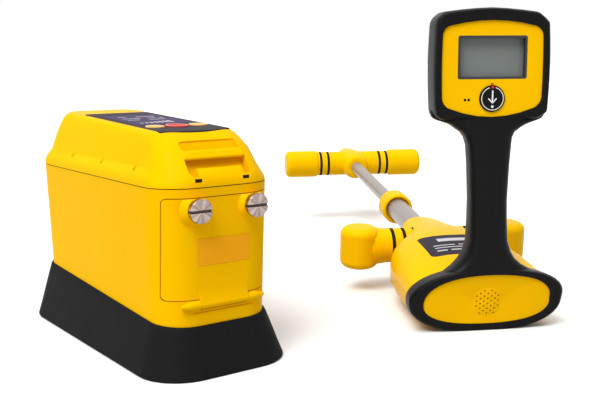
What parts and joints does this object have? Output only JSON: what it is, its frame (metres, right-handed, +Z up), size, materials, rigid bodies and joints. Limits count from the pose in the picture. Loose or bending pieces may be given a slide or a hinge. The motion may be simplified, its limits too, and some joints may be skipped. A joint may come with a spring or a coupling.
{
  "type": "cable locator",
  "caption": "Cable locator set: a booted battery transmitter case with a hinged battery door, and a hand-held receiver with an upright grip, cross bar and telescopic wand ending in a tee bar.",
  "frame": {"origin": "centre of the transmitter's flat base on the floor", "axes": "+Z up, the transmitter's battery door faces -Y and its output socket +Y; the receiver lies on the +X side"},
  "size_m": [0.7301, 0.672, 0.308],
  "materials": {
    "yellow_shell": "satin moulded yellow",
    "boot_rubber": "matte black",
    "seal_rubber": "matte black",
    "band_rubber": "matte black",
    "button_rubber": "matte black",
    "dark_panel": "satin dark",
    "violet_window": "clear gloss over violet",
    "orange_key": "satin orange",
    "red_key": "satin red",
    "orange_label": "satin printed, bare",
    "steel": "turned bright",
    "brass": "turned",
    "black_plastic": "matte",
    "white_plastic": "matte",
    "grip_plastic": "fine matte texture",
    "grey_display": "clear gloss over grey",
    "cell": "plain wrap",
    "board": "solder mask",
    "copper": "wound enamelled wire",
    "ferrite": "sintered",
    "tube_metal": "grey anodised"
  },
  "bodies": {
    "transmitter": {"tx_base_boot": "boot_rubber", "tx_lower_housing": "yellow_shell", "tx_upper_housing": "yellow_shell", "tx_case_seal": "seal_rubber", "tx_control_panel": "dark_panel", "tx_display_window": "violet_window", "tx_hinge_pin": "steel", "tx_screw_inserts": "brass", "tx_door_seal": "seal_rubber", "tx_lid_plugs": "seal_rubber", "tx_battery_holder": "black_plastic", "tx_batteries": "cell", "tx_battery_contacts": "steel", "tx_circuit_board": "board", "tx_induction_coil": "copper", "tx_coil_core": "ferrite", "tx_output_socket": "black_plastic", "tx_socket_nut": "steel", "tx_case_screws": "steel", "tx_base_screws": "steel"},
    "battery_door": {"tx_battery_door": "yellow_shell", "tx_door_label": "orange_label", "tx_door_contacts": "steel"},
    "door_screw_left": {"tx_door_screw_left": "steel"},
    "door_screw_right": {"tx_door_screw_right": "steel"},
    "key_left": {"tx_key_left": "orange_key"},
    "key_power": {"tx_key_power": "red_key"},
    "key_right": {"tx_key_right": "orange_key"},
    "receiver": {"rx_grip_frame": "grip_plastic", "rx_face_plate": "yellow_shell", "rx_display_frame": "black_plastic", "rx_display_window": "grey_display", "rx_head_board": "board", "rx_head_back": "grip_plastic", "rx_head_screws": "steel", "rx_end_cover": "yellow_shell", "rx_speaker": "black_plastic", "rx_body_upper": "yellow_shell", "rx_body_lower": "yellow_shell", "rx_body_label": "dark_panel", "rx_arms": "yellow_shell", "rx_barrels": "yellow_shell", "rx_arm_bands": "band_rubber", "rx_side_coils": "copper", "rx_battery_pack": "cell", "rx_main_board": "board", "rx_body_screws": "steel", "rx_outer_tube": "tube_metal", "rx_guide_bush": "black_plastic", "rx_collet": "white_plastic"},
    "push_button": {"rx_push_button": "button_rubber"},
    "lock_collar": {"rx_lock_collar": "yellow_shell"},
    "wand_tip": {"rx_inner_tube": "tube_metal", "rx_tube_stop": "black_plastic", "rx_tee_hub": "yellow_shell", "rx_tee_caps": "yellow_shell", "rx_tee_bands": "band_rubber", "rx_tee_rod": "ferrite", "rx_tee_coils": "copper"}
  },
  "joints": [
    {"name": "door_hinge", "type": "hinge", "parent": "transmitter", "child": "battery_door", "pos_m": [0, -0.13598, 0.06], "axis": [1, 0, 0], "range_deg": [0, 100]},
    {"name": "left_screw_turn", "type": "hinge", "parent": "battery_door", "child": "door_screw_left", "pos_m": [-0.027, -0.13941, 0.141], "axis": [0, -1, 0], "range_deg": [0, 90]},
    {"name": "right_screw_turn", "type": "hinge", "parent": "battery_door", "child": "door_screw_right", "pos_m": [0.027, -0.13941, 0.141], "axis": [0, -1, 0], "range_deg": [0, 90]},
    {"name": "left_key_press", "type": "slide", "parent": "transmitter", "child": "key_left", "axis": [0, 0.0446, -0.999], "range_m": [0, 0.0006], "stiffness_N_per_m": 2500},
    {"name": "power_key_press", "type": "slide", "parent": "transmitter", "child": "key_power", "axis": [0, 0.0446, -0.999], "range_m": [0, 0.0006], "stiffness_N_per_m": 2500},
    {"name": "right_key_press", "type": "slide", "parent": "transmitter", "child": "key_right", "axis": [0, 0.0446, -0.999], "range_m": [0, 0.0006], "stiffness_N_per_m": 2500},
    {"name": "receiver_lift", "type": "slide", "parent": "transmitter", "child": "receiver", "axis": [0, 0, 1], "range_m": [0, 0.25]},
    {"name": "button_press", "type": "slide", "parent": "receiver", "child": "push_button", "axis": [0.4602, 0.8878, 0], "range_m": [0, 0.0015], "stiffness_N_per_m": 1200},
    {"name": "collar_twist", "type": "hinge", "parent": "receiver", "child": "lock_collar", "pos_m": [0.42445, 0.12226, 0.06541], "axis": [0.4581, 0.8837, 0.0958], "range_deg": [0, 90]},
    {"name": "wand_slide", "type": "slide", "parent": "receiver", "child": "wand_tip", "axis": [0.4581, 0.8837, 0.0958], "range_m": [-0.22, 0]}
  ]
}
